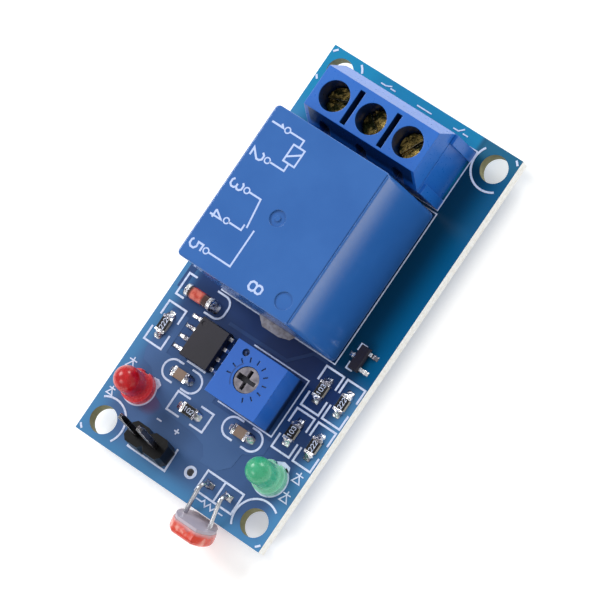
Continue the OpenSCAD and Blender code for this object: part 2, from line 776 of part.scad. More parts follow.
module photocell_disc() {
    inner = cell_d - 2 * cell_skin;
    color("gainsboro") at_cell() difference() {
        cell_blank(inner, cell_flats - 2 * cell_skin, -cell_t, 0);
        for (side = [-1, 1]) translate([side * contact_pitch / 2, 0, 0])
            post(cell_wire_d / 2, -cell_t - 1, 1);
    }
}

// The coating wraps the rim of the disc and leaves most of its back bare
module photocell_coating() {
    front = -cell_t - cell_front;
    back = -0.15;
    round = 0.6;
    color("tomato") at_cell() difference() {
        intersection() {
            rotate_extrude() round_section(cell_d / 2, front, back, round);
            rotate([90, 0, 90]) linear_extrude(cell_d, center = true)
                for (side = [0, 1]) mirror([side, 0]) round_section(cell_flats / 2, front, back, round);
        }
        cell_blank(cell_d - 2 * cell_skin, cell_flats - 2 * cell_skin, -cell_t, 1);
    }
}

module cell_tails() {
    on_board(cell_x, cell_y) for (i = [0, 1])
        translate([pitch_x(i, 2), 0, 0]) post(cell_wire_d / 2, -board_t - tail, board_t);
}

// Points of one lead: up out of the board, over in an arc, then straight into the back of the disc
function lead_route(side) =
    let (x0 = side * lead_pitch / 2, x1 = side * contact_pitch / 2,
        turn = 90 + cell_lean,
        run = (cell_reach - wire_bend * (1 + sin(cell_lean))) / cos(cell_lean),
        spring = cell_drop - wire_bend * cos(cell_lean) + run * sin(cell_lean))
    concat([[x0, 0, -board_t - tail], [x0, 0, spring - 0.2]],
        [for (i = [0:8]) let (a = turn * i / 8)
            [x0 + (x1 - x0) * i / 16, wire_bend * (cos(a) - 1), spring + wire_bend * sin(a)]],
        [[x1, -cell_reach, cell_drop],
        [x1, -cell_reach - cell_t * cos(cell_lean), cell_drop - cell_t * sin(cell_lean)]]);

module photocell_leads() {
    color("silver") on_board(cell_x, cell_y) for (side = [-1, 1]) wire(lead_route(side), cell_wire_d / 2);
}

// Indicator lamps

module lamp_tails(at) {
    on_board(at[0], at[1]) for (i = [0, 1])
        block([lamp_lead, lamp_lead, board_t + tail + eps], [0, pitch_x(i, 2), -board_t - tail]);
}

// Lead frame: one post for the wire bond, one with the cup that holds the chip
module lamp_leads(at) {
    cup_z = lens_h - lens_d / 2 - 1;
    cup_r = 0.55;
    cup_y = 0.15;
    wire_post = [lamp_lead, 0.9, 0.5];
    cup_post = [lamp_lead, 1.3, 0.6];
    lamp_tails(at);
    on_board(at[0], at[1]) {
        for (sy = [-1, 1]) block([lamp_lead, lamp_lead, cup_z - wire_post[2]], [0, sy * lead_pitch / 2, 0]);
        block(wire_post, [0, (wire_post[1] - lamp_lead - lead_pitch) / 2, cup_z - 0.7]);
        block(cup_post, [0, (lead_pitch + lamp_lead - cup_post[1]) / 2, cup_z - 0.9]);
        translate([0, cup_y, 0]) difference() {
            post(cup_r, cup_z - 0.4, cup_z);
            translate([0, 0, cup_z - 0.25]) cylinder(r1 = cup_r * 0.4, r2 = cup_r * 0.8, h = 0.3);
        }
    }
}

module lamp_lens(at) {
    dome_z = lens_h - lens_d / 2;
    difference() {
        on_board(at[0], at[1]) {
            difference() {
                post(flange_r, 0, flange_h);
                block([1, 2 * lens_d, flange_h + 2], [0, flange_r + lens_d - 0.25, -1]);
            }
            post(lens_d / 2, 0, dome_z);
            translate([0, 0, dome_z]) intersection() {
                sphere(r = lens_d / 2);
                post(lens_d, 0, lens_d);
            }
        }
        lamp_leads(at);
    }
}

module red_lamp_lens() { color("crimson") lamp_lens([red_x, red_y]); }
module red_lamp_leads() { color("silver") lamp_leads([red_x, red_y]); }
module green_lamp_lens() { color("mediumseagreen") lamp_lens([green_x, green_y]); }
module green_lamp_leads() { color("silver") lamp_leads([green_x, green_y]); }

// Small components

// One bent lead of a surface-mounted case, from inside its wall to its foot
module gull_lead(case_w, mid) {
    root = case_w / 2 - 0.4;
    knee = case_w / 2 + 0.3;
    heel = knee + 0.25;
    toe = gull_out(case_w);
    rotate([90, 0, 0]) linear_extrude(gull_w, center = true)
        polygon([[root, mid], [knee, mid], [heel - 0.05, 0], [toe, 0], [toe, gull_t],
            [heel + 0.1, gull_t], [knee + 0.15, mid + gull_t], [root, mid + gull_t]]);
}

// A moulded case that is widest at its leads and leans in above and below them
module moulded_case(w, l, h, mid) {
    lean = 0.12;
    foot = 0.1;
    hull() {
        block([w, l, 0.05], [0, 0, mid]);
        block([w - 2 * lean, l - 2 * lean, 0.05], [0, 0, foot]);
        block([w - 2 * lean, l - 2 * lean, 0.05], [0, 0, h - 0.05]);
    }
}

module comparator_leads() {
    color("silver") on_board(chip8_at[0], chip8_at[1]) for (side = [0, 180], i = [0:3])
        rotate([0, 0, side]) translate([0, (i - 1.5) * chip8_pitch, 0]) gull_lead(chip8_w, chip8_h / 2);
}

module comparator_case() {
    pin_mark_at = [0.6 - chip8_w / 2, chip8_l / 2 - 0.7];
    pin_mark_r = 0.25;
    color("#2b2b2d") difference() {
        on_board(chip8_at[0], chip8_at[1]) difference() {
            moulded_case(chip8_w, chip8_l, chip8_h, chip8_h / 2 + gull_t / 2);
            translate(pin_mark_at) post(pin_mark_r, chip8_h - 0.08, chip8_h + 1);
        }
        comparator_leads();
    }
}

module transistor_legs() {
    color("silver") on_board(transistor_at[0], transistor_at[1]) for (leg = leg_sides)
        translate([0, leg[1], 0]) rotate([0, 0, leg[0]]) translate([leg_shift, 0, 0])
            gull_lead(transistor_w, transistor_h / 2);
}

module transistor_case() {
    color("#242426") difference() {
        on_board(transistor_at[0], transistor_at[1])
            moulded_case(transistor_w, transistor_l, transistor_h, transistor_h / 2 + gull_t / 2);
        transistor_legs();
    }
}

module diode_shape(r, low, high) {
    on_board(diode_at[0], diode_at[1]) translate([0, 0, diode_d / 2]) rotate([0, 90, 0]) post(r, low, high);
}

module diode_glass() {
    waist = 0.05;
    color("orangered") diode_shape(diode_d / 2 - waist, diode_cap - diode_l / 2, diode_l / 2 - diode_cap);
}

module diode_caps() {
    color("silver") {
        diode_shape(diode_d / 2, -diode_l / 2, diode_cap - diode_l / 2);
        diode_shape(diode_d / 2, diode_l / 2 - diode_cap, diode_l / 2);
    }
}

module chip_body(h) {
    skin = 0.04;
    block([chip_l - 2 * skin, chip_w - 2 * skin, h - 2 * skin], [0, 0, skin]);
    block([chip_l - 2 * chip_cap, chip_w - 2 * skin, skin], [0, 0, h - skin]);
}

// The metal ends are folded round the body, open in the middle
module chip_ends(h) {
    difference() {
        block([chip_l, chip_w, h]);
        block([chip_l - 2 * chip_cap, 2 * chip_w, 3 * h], [0, 0, -h]);
        chip_body(h);
    }
}

module at_chips(list) {
    on_board() for (c = list) translate([c[0], c[1], 0]) rotate([0, 0, c[2]]) children();
}

module resistor_bodies() { color("#1d1d20") at_chips(resistors) chip_body(resistor_h); }
module resistor_ends() { color("silver") at_chips(resistors) chip_ends(resistor_h); }
module capacitor_bodies() { color("#8f7350") at_chips(capacitors) chip_body(capacitor_h); }
module capacitor_ends() { color("silver") at_chips(capacitors) chip_ends(capacitor_h); }

circuit_board();
through_solder();
surface_solder();
relay_cover();
relay_base();
relay_bobbin();
relay_winding();
relay_core();
relay_yoke();
relay_armature();
relay_moving_contact();
relay_open_contact();
relay_closed_contact();
relay_coil_pins();
relay_common_pin();
terminal_housing();
terminal_tongues();
terminal_screw_1();
terminal_screw_2();
terminal_screw_3();
clamp_cage_1();
clamp_cage_2();
clamp_cage_3();
trimmer_housing();
trimmer_rotor();
trimmer_wiper();
trimmer_element();
trimmer_pins();
header_block();
header_pins();
photocell_disc();
photocell_coating();
photocell_leads();
red_lamp_lens();
red_lamp_leads();
green_lamp_lens();
green_lamp_leads();
comparator_case();
comparator_leads();
transistor_case();
transistor_legs();
diode_glass();
diode_caps();
resistor_bodies();
resistor_ends();
capacitor_bodies();
capacitor_ends();
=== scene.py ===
import math
import random

import bpy
from mathutils import Matrix, Vector


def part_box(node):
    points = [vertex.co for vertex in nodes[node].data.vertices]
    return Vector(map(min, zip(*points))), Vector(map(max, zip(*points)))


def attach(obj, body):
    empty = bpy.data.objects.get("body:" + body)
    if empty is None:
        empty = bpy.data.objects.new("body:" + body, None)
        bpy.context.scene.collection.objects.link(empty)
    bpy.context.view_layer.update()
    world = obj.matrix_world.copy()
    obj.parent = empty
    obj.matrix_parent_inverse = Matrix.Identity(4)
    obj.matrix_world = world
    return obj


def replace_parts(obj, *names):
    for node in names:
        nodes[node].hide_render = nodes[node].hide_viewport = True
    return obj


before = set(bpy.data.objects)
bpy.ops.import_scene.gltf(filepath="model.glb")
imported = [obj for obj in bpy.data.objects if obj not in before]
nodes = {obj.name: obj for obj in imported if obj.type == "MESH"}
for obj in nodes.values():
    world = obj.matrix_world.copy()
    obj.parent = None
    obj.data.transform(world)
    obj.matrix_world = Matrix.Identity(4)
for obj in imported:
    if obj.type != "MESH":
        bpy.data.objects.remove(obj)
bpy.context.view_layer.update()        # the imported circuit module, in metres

mm = 0.001


def tone(code):
    # "#rrggbb" to the linear colour that the shaders take
    parts = [int(code[i:i + 2], 16) / 255 for i in (1, 3, 5)]
    return tuple(c / 12.92 if c < 0.04045 else ((c + 0.055) / 1.055) ** 2.4 for c in parts) + (1.0,)


class Signal:
    # one socket of a finish; sums and products of signals add their own Math nodes
    def __init__(self, finish, socket):
        self.finish = finish
        self.socket = socket

    def maths(self, operation, first, second=0.0):
        return self.finish.add("ShaderNodeMath", {"operation": operation}, {0: first, 1: second})

    def __add__(self, other):
        return self.maths("ADD", self, other)

    def __sub__(self, other):
        return self.maths("SUBTRACT", self, other)

    def __rsub__(self, other):
        return self.maths("SUBTRACT", other, self)

    def __mul__(self, other):
        return self.maths("MULTIPLY", self, other)

    __radd__ = __add__
    __rmul__ = __mul__

    def size(self):
        return self.maths("ABSOLUTE", self)

    def least(self, other):
        return self.maths("MINIMUM", self, other)

    def wave(self):
        return self.maths("SINE", self)

    def ease(self, start, end):
        # 0 before start, 1 after end
        return self.finish.add("ShaderNodeMapRange", {"interpolation_type": "SMOOTHSTEP"},
                               {0: self, 1: start, 2: end, 3: 0.0, 4: 1.0})

    def within(self, low, high, soft=0.1):
        return self.ease(low - soft, low + soft) * (1 - self.ease(high - soft, high + soft))


class Finish:
    def __init__(self, name, settings):
        self.material = bpy.data.materials.new(name)
        self.material.use_nodes = True
        self.tree = self.material.node_tree
        self.shader = self.tree.nodes["Principled BSDF"]
        self.set(settings)

    def set(self, sockets, node=None):
        node = node or self.shader
        for key, value in sockets.items():
            socket = node.inputs[key]
            if isinstance(value, Signal):
                self.tree.links.new(value.socket, socket)
            else:
                socket.default_value = value

    def add(self, kind, settings=None, sockets=None, out=0):
        node = self.tree.nodes.new(kind)
        for key, value in (settings or {}).items():
            setattr(node, key, value)
        self.set(sockets or {}, node)
        return Signal(self, node.outputs[out])

    def place(self):
        # the point on the surface, in millimetres of the part's own frame
        spot = self.add("ShaderNodeTexCoord", out="Object")
        return self.add("ShaderNodeVectorMath", {"operation": "SCALE"}, {0: spot, "Scale": 1000.0})

    def split(self, vector):
        node = self.tree.nodes.new("ShaderNodeSeparateXYZ")
        self.set({0: vector}, node)
        return [Signal(self, node.outputs[i]) for i in range(3)]

    def normal(self):
        return self.add("ShaderNodeNewGeometry", out="Normal")

    def noise(self, grain, detail=3.0, rough=0.55, at=None):
        # grain is the size of one patch, in millimetres
        return self.add("ShaderNodeTexNoise", None, {"Vector": at or self.place(), "Scale": 1 / grain,
                                                     "Detail": detail, "Roughness": rough})

    def mix(self, factor, first, second):
        return self.add("ShaderNodeMix", {"data_type": "RGBA"}, {0: factor, 6: first, 7: second}, out=2)

    def soften(self, edge):
        return self.add("ShaderNodeBevel", {"samples": 6}, {"Radius": edge * mm})

    def wearAndEdgeHighlight(self, edge):
        # 1 along sharp edges, over the radius edge; mixed into a colour, it paints a highlight along them
        match = self.add("ShaderNodeVectorMath", {"operation": "DOT_PRODUCT"},
                         {0: self.normal(), 1: self.soften(edge)}, out="Value")
        return (1 - match).ease(0.02, 0.25)

    def bump(self, height, depth, edge=0.0):
        # depth in millimetres; edge is the radius that sharp edges seem to have
        sockets = {"Height": height, "Strength": 1.0, "Distance": depth * mm}
        if edge:
            sockets["Normal"] = self.soften(edge)
        return self.add("ShaderNodeBump", None, sockets)

    def spot(self, x, y, at, reach):
        # 1 at the place, 0 beyond reach
        away = (x - at[0]) * (x - at[0]) + (y - at[1]) * (y - at[1])
        return 1 - away.ease(0.0, reach * reach)


# Geometry helpers: everything is written in millimetres

class Bag:
    # collects vertices and faces of one piece
    def __init__(self):
        self.points = []
        self.faces = []

    def put(self, points, faces):
        start = len(self.points)
        self.points += points
        self.faces += [[start + i for i in face] for face in faces]

    def mesh(self, name, finish):
        mesh = bpy.data.meshes.new(name)
        mesh.from_pydata([tuple(c * mm for c in p) for p in self.points], [], self.faces)
        mesh.validate()
        mesh.update()
        mesh.materials.append(finish.material)
        return mesh

    def piece(self, name, body, finish, smooth=False):
        mesh = self.mesh(name, finish)
        if smooth:
            mesh.shade_smooth()
        obj = bpy.data.objects.new(name, mesh)
        bpy.context.scene.collection.objects.link(obj)
        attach(obj, body)
        return obj


def ribbon(bag, path, width, low, high):
    # a flat printed line along path, mitred at its corners; closed when it ends where it starts
    closed = math.dist(path[0], path[-1]) < 1e-6
    line = path[:-1] if closed else path
    high += 0.0006 * (len(bag.faces) % 7)        # lines that cross are never level
    count = len(line)
    sides = []
    for i, (x, y) in enumerate(line):
        before = line[i - 1] if closed or i else line[i]
        after = line[(i + 1) % count] if closed or i < count - 1 else line[i]
        into = Vector((x - before[0], y - before[1]))
        away = Vector((after[0] - x, after[1] - y))
        into = into.normalized() if into.length else away.normalized()
        away = away.normalized() if away.length else into
        normal = Vector((-into.y - away.y, into.x + away.x)).normalized()
        reach = width / 2 / max(0.35, normal.dot(Vector((-into.y, into.x))))
        sides.append(((x + normal.x * reach, y + normal.y * reach),
                      (x - normal.x * reach, y - normal.y * reach)))
    points = []
    for left, right in sides:
        points += [(*left, low), (*right, low), (*right, high), (*left, high)]
    faces = []
    for i in range(count if closed else count - 1):
        here, there = 4 * i, 4 * ((i + 1) % count)
        for k in range(4):
            n = (k + 1) % 4
            faces.append([here + k, there + k, there + n, here + n])
    if not closed:
        last = 4 * (count - 1)
        faces += [[0, 1, 2, 3], [last + 3, last + 2, last + 1, last]]
    bag.put(points, faces)


def plate(bag, outline, low, high):
    count = len(outline)
    points = [(*p, low) for p in outline] + [(*p, high) for p in outline]
    faces = [list(range(count - 1, -1, -1)), list(range(count, 2 * count))]
    faces += [[i, (i + 1) % count, count + (i + 1) % count, count + i] for i in range(count)]
    bag.put(points, faces)


def arc(x, y, r, start, end, steps=28):
    turns = [math.radians(start + (end - start) * i / steps) for i in range(steps + 1)]
    return [(x + r * math.cos(t), y + r * math.sin(t)) for t in turns]


def ring(x, y, r):
    path = arc(x, y, r, 0, 360, 40)
    return path[:-1] + [path[0]]


def rect(x0, y0, x1, y1):
    return [(x0, y0), (x1, y0), (x1, y1), (x0, y1), (x0, y0)]


strokes = {
    "0": [[(.15, 0), (.45, 0), (.6, .2), (.6, .8), (.45, 1), (.15, 1), (0, .8), (0, .2), (.15, 0)]],
    "1": [[(.1, .78), (.32, 1), (.32, 0)]],
    "2": [[(0, .8), (.15, 1), (.45, 1), (.6, .82), (.6, .6), (0, 0), (.6, 0)]],
    "3": [[(0, .86), (.15, 1), (.45, 1), (.6, .84), (.6, .66), (.45, .53), (.24, .53)],
          [(.45, .53), (.6, .38), (.6, .16), (.45, 0), (.15, 0), (0, .14)]],
    "4": [[(.45, 0), (.45, 1), (0, .3)], [(0, .3), (.62, .3)]],
    "5": [[(.56, 1), (.06, 1), (.06, .56), (.4, .6), (.6, .44), (.6, .18), (.43, 0), (.13, 0), (0, .13)]],
    "8": [[(.14, .53), (.03, .66), (.03, .86), (.16, 1), (.44, 1), (.57, .86), (.57, .66), (.46, .53), (.14, .53)],
          [(.14, .53), (0, .38), (0, .15), (.15, 0), (.45, 0), (.6, .15), (.6, .38), (.46, .53)]],
    "+": [[(0, .5), (.6, .5)], [(.3, .2), (.3, .8)]],
    "-": [[(0, .5), (.6, .5)]],
}


def figures(bag, text, at, height, turn, width, low, high):
    # plain numerals centred on at; turn in degrees
    step = 0.85 * height
    spin = Matrix.Rotation(math.radians(turn), 2)
    for i, sign in enumerate(text):
        for stroke in strokes[sign]:
            path = []
            for x, y in stroke:
                local = Vector(((i - (len(text) - 1) / 2) * step + (x - 0.3) * height, (y - 0.5) * height))
                moved = spin @ local
                path.append((at[0] + moved.x, at[1] + moved.y))
            ribbon(bag, path, width, low, high)


def dress(finish, *names):
    for name in names:
        mesh = nodes[name].data
        mesh.materials.clear()
        mesh.materials.append(finish.material)


def roundOff(angle, *names):
    for name in names:
        mesh = nodes[name].data
        mesh.shade_smooth()
        mesh.set_sharp_from_angle(angle=math.radians(angle))


# Camera: the photograph's place, turn and lens

view = {"place": (0.203315, -0.018145, 0.452902), "turn": (15.7784, 18.6699, 36.3347), "lens": 278.0,
        "shift": (-2.15 / 600, -0.77 / 600)}
eye = bpy.data.objects.new("photo_camera", bpy.data.cameras.new("photo_camera"))
bpy.context.scene.collection.objects.link(eye)
eye.location = view["place"]
eye.rotation_euler = [math.radians(a) for a in view["turn"]]
eye.data.lens = view["lens"]
eye.data.sensor_width = 36
eye.data.shift_x, eye.data.shift_y = view["shift"]
eye.data.clip_start = 0.01
bpy.context.scene.camera = eye
bpy.context.scene.view_settings.view_transform = "Standard"
print("camera set")


# Floor and light

studio = {"floor": "#f0f0ef", "drop": 1.96, "reach": 900, "glow": 0.34, "sky": 0.55, "key": 2.1, "fill": 0.9,
          "back": 1.7}
floorFinish = Finish("pale_floor", {"Base Color": tone(studio["floor"]), "Roughness": 0.75,
                                    "Specular IOR Level": 0.2, "Emission Color": (1, 1, 1, 1),
                                    "Emission Strength": studio["glow"]})
floorFinish.set({"Roughness": floorFinish.noise(30, 2) * 0.1 + 0.7})
floorBag = Bag()
for i in range(-6, 7):
    for j in range(-6, 7):
        floorBag.points.append((studio["reach"] * i / 6, studio["reach"] * j / 6, -studio["drop"]))
for i in range(12):
    for j in range(12):
        corner = i * 13 + j
        floorBag.faces.append([corner, corner + 13, corner + 14, corner + 1])
floor = bpy.data.objects.new("floor", floorBag.mesh("floor", floorFinish))
bpy.context.scene.collection.objects.link(floor)

world = bpy.data.worlds.new("soft_studio")
world.use_nodes = True
sky = world.node_tree.nodes["Background"]
sky.inputs["Color"].default_value = (1, 1, 1, 1)
sky.inputs["Strength"].default_value = studio["sky"]
bpy.context.scene.world = world


def softbox(name, place, size, power):
    lamp = bpy.data.lights.new(name, "AREA")
    lamp.shape = "RECTANGLE"
    lamp.size, lamp.size_y = size
    lamp.energy = power
    obj = bpy.data.objects.new(name, lamp)
    bpy.context.scene.collection.objects.link(obj)
    obj.location = place
    obj.rotation_euler = Vector(place).to_track_quat("Z", "Y").to_euler()


softbox("key_left", (-0.52, 0.06, 0.47), (0.26, 0.26), studio["key"])
softbox("fill_front", (-0.12, -0.48, 0.49), (0.28, 0.22), studio["fill"])
softbox("back_far", (0.06, 0.55, 0.36), (0.34, 0.22), studio["back"])
print("floor and lights ready")


# Circuit board: mask over laminate, copper areas under the mask, white print

boardLook = {"deep": "#00265c", "pale": "#486898", "strip": "#00324f", "stripEdge": "#006092",
             "edge": "#4680b0", "far": "#0f83b0", "farRight": "#1d6487", "laminate": "#fbfbf8",
             "laminateDark": "#eeeae0", "hole": "#a3a07a", "holeDark": "#6c6c48", "via": "#908e90", "roughness": 0.2, "gloss": 0.25}
low, high = [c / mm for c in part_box("circuit_board")]
halfX, halfY, top = high
maskFinish = Finish("solder_mask", {"IOR": 1.5, "Specular IOR Level": boardLook["gloss"]})
at = maskFinish.place()
x, y, z = maskFinish.split(at)


def sheenGradient(finish, x, y, cloud, extra):
    # painted sheen: the mask is painted paler towards the lamps and the header
    pale = (0 - y * 0.95 - x * 0.4 + cloud * 5 - 2.5).ease(1.0, 24.5)
    return finish.mix(pale + extra, tone(boardLook["deep"]), tone(boardLook["pale"]))


up = maskFinish.split(maskFinish.normal())[2]
rim = (halfX - x.size()).least(halfY - y.size())
cloud = maskFinish.noise(6, 2, at=at)
# painted shade beside the relay's +X side: the bare mask is darkest against the relay and fades to its own teal
# towards the board's edge
strip = x.ease(7.4, 8.4) * y.ease(-6.5, -2.5)
colour = sheenGradient(maskFinish, x, y, cloud, 0.0)
# painted red glow of the red lamp on the top of the mask around it
paintedLampGlow = maskFinish.spot(x, y, (-7.3, -18.3), 1.6) * z.ease(1.4, 1.55) * 0.35
colour = maskFinish.mix(paintedLampGlow, colour, tone("#7a1a20"))
colour = maskFinish.mix((1 - rim.ease(0.3, 2.7)) * (1 - strip), colour, tone(boardLook["edge"]))
colour = maskFinish.mix(y.ease(14, 20) * (1 - strip), colour, tone(boardLook["far"]))
colour = maskFinish.mix(strip, colour, maskFinish.mix(x.ease(9.3, 13.2), tone(boardLook["strip"]),
                                                      tone(boardLook["stripEdge"])))
colour = maskFinish.mix(y.ease(21.5, 24) * strip, colour, tone(boardLook["farRight"]))
side = 1 - up.size().ease(0.3, 0.7)
weave = maskFinish.noise(0.5, 4, 0.7, at)
outer = maskFinish.mix(weave.ease(0.4, 0.7), tone(boardLook["laminate"]), tone(boardLook["laminateDark"]))
inner = maskFinish.mix(weave, tone(boardLook["hole"]), tone(boardLook["holeDark"]))
inner = maskFinish.mix(maskFinish.spot(x, y, (1.3, -22.05), 0.9).ease(0.0, 0.3), inner, tone(boardLook["via"]))
bare = maskFinish.mix(rim.ease(0.05, 0.2), outer, inner)
maskFinish.set({
    "Base Color": maskFinish.mix(side, colour, bare),
    "Roughness": side * 0.45 + (boardLook["roughness"] + cloud * 0.05),
    "Normal": maskFinish.bump(cloud, 0.04, 0.05)})
dress(maskFinish, "circuit_board")

copperFinish = Finish("mask_over_copper", {"IOR": 1.5, "Specular IOR Level": boardLook["gloss"]})
at = copperFinish.place()
x, y, z = copperFinish.split(at)
cloud = copperFinish.noise(4, 3, at=at)
# the copper areas take the same painted sheen, a little paler
copperFinish.set({
    "Base Color": sheenGradient(copperFinish, x, y, cloud, 0.2),
    "Roughness": cloud * 0.08 + 0.16,
    "Normal": copperFinish.bump(cloud, 0.02, 0.03)})
pour = Bag()
copperHigh = top + 0.026
plate(pour, [(-11.3, -8.4), (-9.0, -8.4), (-9.0, -12.9), (-4.6, -12.9), (-4.6, -7.3), (-1.2, -7.3), (-1.2, -14.6),
             (7.2, -14.6), (7.2, -16.2), (5.1, -17.4), (4.9, -19.2), (3.7, -20.4), (1.4, -20.6), (1.5, -19.9),
             (0.7, -18.9), (-1.0, -18.4), (-4.9, -18.3), (-7.1, -17.4), (-9.5, -15.1), (-10.8, -14.8),
             (-11.3, -13.7)], top, copperHigh)
ribbon(pour, [(-4.75, -6.5), (3.26, -6.45), (5.5, -4.2), (7.4, -4.2)], 0.4, top, copperHigh)
ribbon(pour, [(-12.0, -6.2), (-12.0, -3.0), (-9.2, -0.2), (-9.2, 16.5)], 0.9, top, copperHigh)
pour.piece("copper_areas", "board", copperFinish)

printFinish = Finish("board_print", {"Roughness": 0.55, "Specular IOR Level": 0.3})
wearAndEdgeHighlight = printFinish.noise(0.3, 4, 0.7)
printFinish.set({"Base Color": printFinish.mix(wearAndEdgeHighlight.ease(0.45, 0.8), tone("#d6e0f8"), tone("#9fb4d8")),
                 "Roughness": wearAndEdgeHighlight * 0.2 + 0.45})

printLook = {"line": 0.23, "thin": 0.13, "ring": 2.6, "lampRing": 1.95, "rise": (0.014, 0.044)}
printLow, printHigh = [top + r for r in printLook["rise"]]
printed = Bag()


def draw(path, width=printLook["line"]):
    ribbon(printed, path, width, printLow, printHigh)


# rings round the fixing holes, cut off by the edges of the board and by the terminal block
for cx, cy, runs in ((-10.7, -22.65, ((-35, 125), (218, 232))), (10.7, -22.65, ((55, 215), (308, 322))),
                     (10.7, 22.65, ((145, 305), (38, 52))), (-10.7, 22.65, ((27, 49), (128, 142), (214, 226)))):
    for start, end in runs:
        draw(arc(cx, cy, printLook["ring"], start, end))
draw([(-7.76, -3.95), (8.15, -3.95), (8.15, 15.35), (-7.76, 15.35), (-7.76, -3.95)], printLook["thin"])
draw([(-7.6, 15.73), (7.97, 15.73), (7.97, 23.3), (-7.6, 23.3), (-7.6, 15.73)], printLook["thin"])
draw([(-1.42, -20.76), (-1.31, -23.5), (-6.57, -23.47), (-6.57, -22.2)])
draw(rect(2.9, -23.3, 7.9, -20.8))
draw([(5.38, -23.3), (5.38, -20.8)])
draw([(-0.75, -14.1), (6.75, -14.1), (6.75, -6.95), (-0.9, -6.95)], 0.16)
draw([(-6.4, -12.35), (-3.8, -12.35)])
for cx, cy in ((-10.96, -10.46), (8.67, -7.0), (11.58, -7.0), (8.58, -12.44), (11.54, -12.47)):
    for sy in (-1, 1):
        draw([(cx - 1.2, cy + sy * 0.75), (cx - 1.2, cy + sy * 2.46), (cx + 1.2, cy + sy * 2.46),
              (cx + 1.2, cy + sy * 0.75)])
for sx in (-1, 1):
    draw([(-2.74 + sx * 0.75, -15.57), (-2.74 + sx * 2.5, -15.57), (-2.74 + sx * 2.5, -17.87),
          (-2.74 + sx * 0.75, -17.87)])
for cx, cy in ((-5.85, -14.05), (3.8, -15.58)):
    for sx in (-1, 1):
        bend = arc(cx + sx * 1.35, cy, 1.2, 90, 90 - sx * 180)
        draw([(cx + sx * 0.6, cy + 1.2)] + bend + [(cx + sx * 0.6, cy - 1.2)])
draw([(-10.9, -4.32), (-12.0, -4.32), (-12.0, -6.99), (-10.9, -6.99)])
draw([(-8.0, -4.3)] + arc(-6.8, -5.3, 1.0, 90, 0, 8) + arc(-6.8, -6.0, 1.0, 0, -90, 8) + [(-8.0, -7.0)])
for end in (-1, 1):
    draw([(9.4, -2.05 + end * 0.7), (9.4, -2.05 + end * 1.52), (10.2, -2.05 + end * 1.52)], 0.18)
for cx, cy in ((-9.3, -17.6), (9.4, -17.8)):
    draw(arc(cx, cy, printLook["lampRing"], 115, 425, 40))
plate(printed, [(-8.9, -15.9), (-7.9, -15.7), (-7.3, -16.1), (-7.4, -16.7), (-8.3, -16.6)], printLow, printHigh)
plate(printed, [(8.9, -15.9), (9.7, -15.5), (10.6, -15.7), (10.8, -16.3), (9.2, -16.2)], printLow, printHigh)
for r in (0.49, 0.58, 0.67):
    draw(ring(1.3, -22.05, r), 0.13)
figures(printed, "-", (-5.2, -19.3), 1.1, 0, 0.18, printLow, printHigh)
figures(printed, "+", (-2.7, -19.3), 1.1, 0, 0.18, printLow, printHigh)
# plain signs beside the terminals: closed, common and open contact
for cx, tip in ((-4.9, (0.35, 0.28)), (0.1, (0.3, 0.0)), (5.1, (0.25, 0.5))):
    draw([(cx - 1.0, 24.1), (cx - 0.3, 24.1)], 0.15)
    draw([(cx + 0.3, 24.1), (cx + 1.0, 24.1)], 0.15)
    draw([(cx - 0.3, 24.1), (cx + tip[0], 24.1 + tip[1])], 0.15)
# plain diode signs beside the lamps, and a resistor sign by the photocell
for cx, cy, h in ((-11.7, -15.9, 0.5), (-11.9, -19.6, 0.4), (12.0, -16.2, 0.5), (12.0, -18.6, 0.5)):
    draw([(cx - h, cy - h), (cx + h, cy - h), (cx, cy + h * 0.6), (cx - h, cy - h)], 0.14)
    draw([(cx - h, cy + h * 0.75), (cx + h, cy + h * 0.75)], 0.14)
    draw([(cx, cy + h * 0.75), (cx, cy + h * 1.5)], 0.14)
draw([(3.4, -23.95), (4.3, -23.95), (4.5, -23.65), (4.9, -24.25), (5.3, -23.65), (5.7, -24.25), (6.1, -23.65),
      (6.3, -23.95), (7.2, -23.95)], 0.15)
printed.piece("board_print", "board", printFinish)

# a film of dried flux at the foot of the relay
fluxFinish = Finish("dried_flux", {"Coat Weight": 0.3, "IOR": 1.5})
at = fluxFinish.place()
curd = fluxFinish.noise(0.5, 4, 0.6, at)
fluxFinish.set({"Base Color": fluxFinish.mix(curd.ease(0.35, 0.6), tone("#8a8388"), tone("#aaa7b0")),
                "Roughness": curd * 0.2 + 0.3, "Normal": fluxFinish.bump(curd, 0.05)})
flux = Bag()
plate(flux, [(-2.5, -3.86), (-1.38, -4.84), (0.93, -4.85), (2.18, -4.48), (2.64, -3.86)], printHigh, printHigh + 0.02)
flux.piece("dried_flux", "board", fluxFinish)

# tracks on the underside
tracks = Bag()
for path, width in (([(-8.6, 13.0), (-8.6, 2.0), (-5.7, 0.5)], 2.2), ([(6.3, 12.7), (5.1, 16.2)], 2.4),
                    ([(0.3, -1.4), (0.3, 10.0), (0.1, 16.2)], 2.4), ([(-5.2, -21.5), (-5.2, -16.0), (-9.3, -16.2)], 0.9),
                    ([(-2.7, -21.5), (-2.7, -14.0), (0.3, -12.2)], 0.6), ([(4.0, -21.6), (4.0, -14.0), (5.3, -12.4)], 0.6),
                    ([(9.4, -16.2), (9.4, -3.0), (6.3, 0.2)], 0.6)):
    ribbon(tracks, path, width, -0.012, 0.0)
tracks.piece("underside_tracks", "board", copperFinish)
print("board printed")


# Plastics

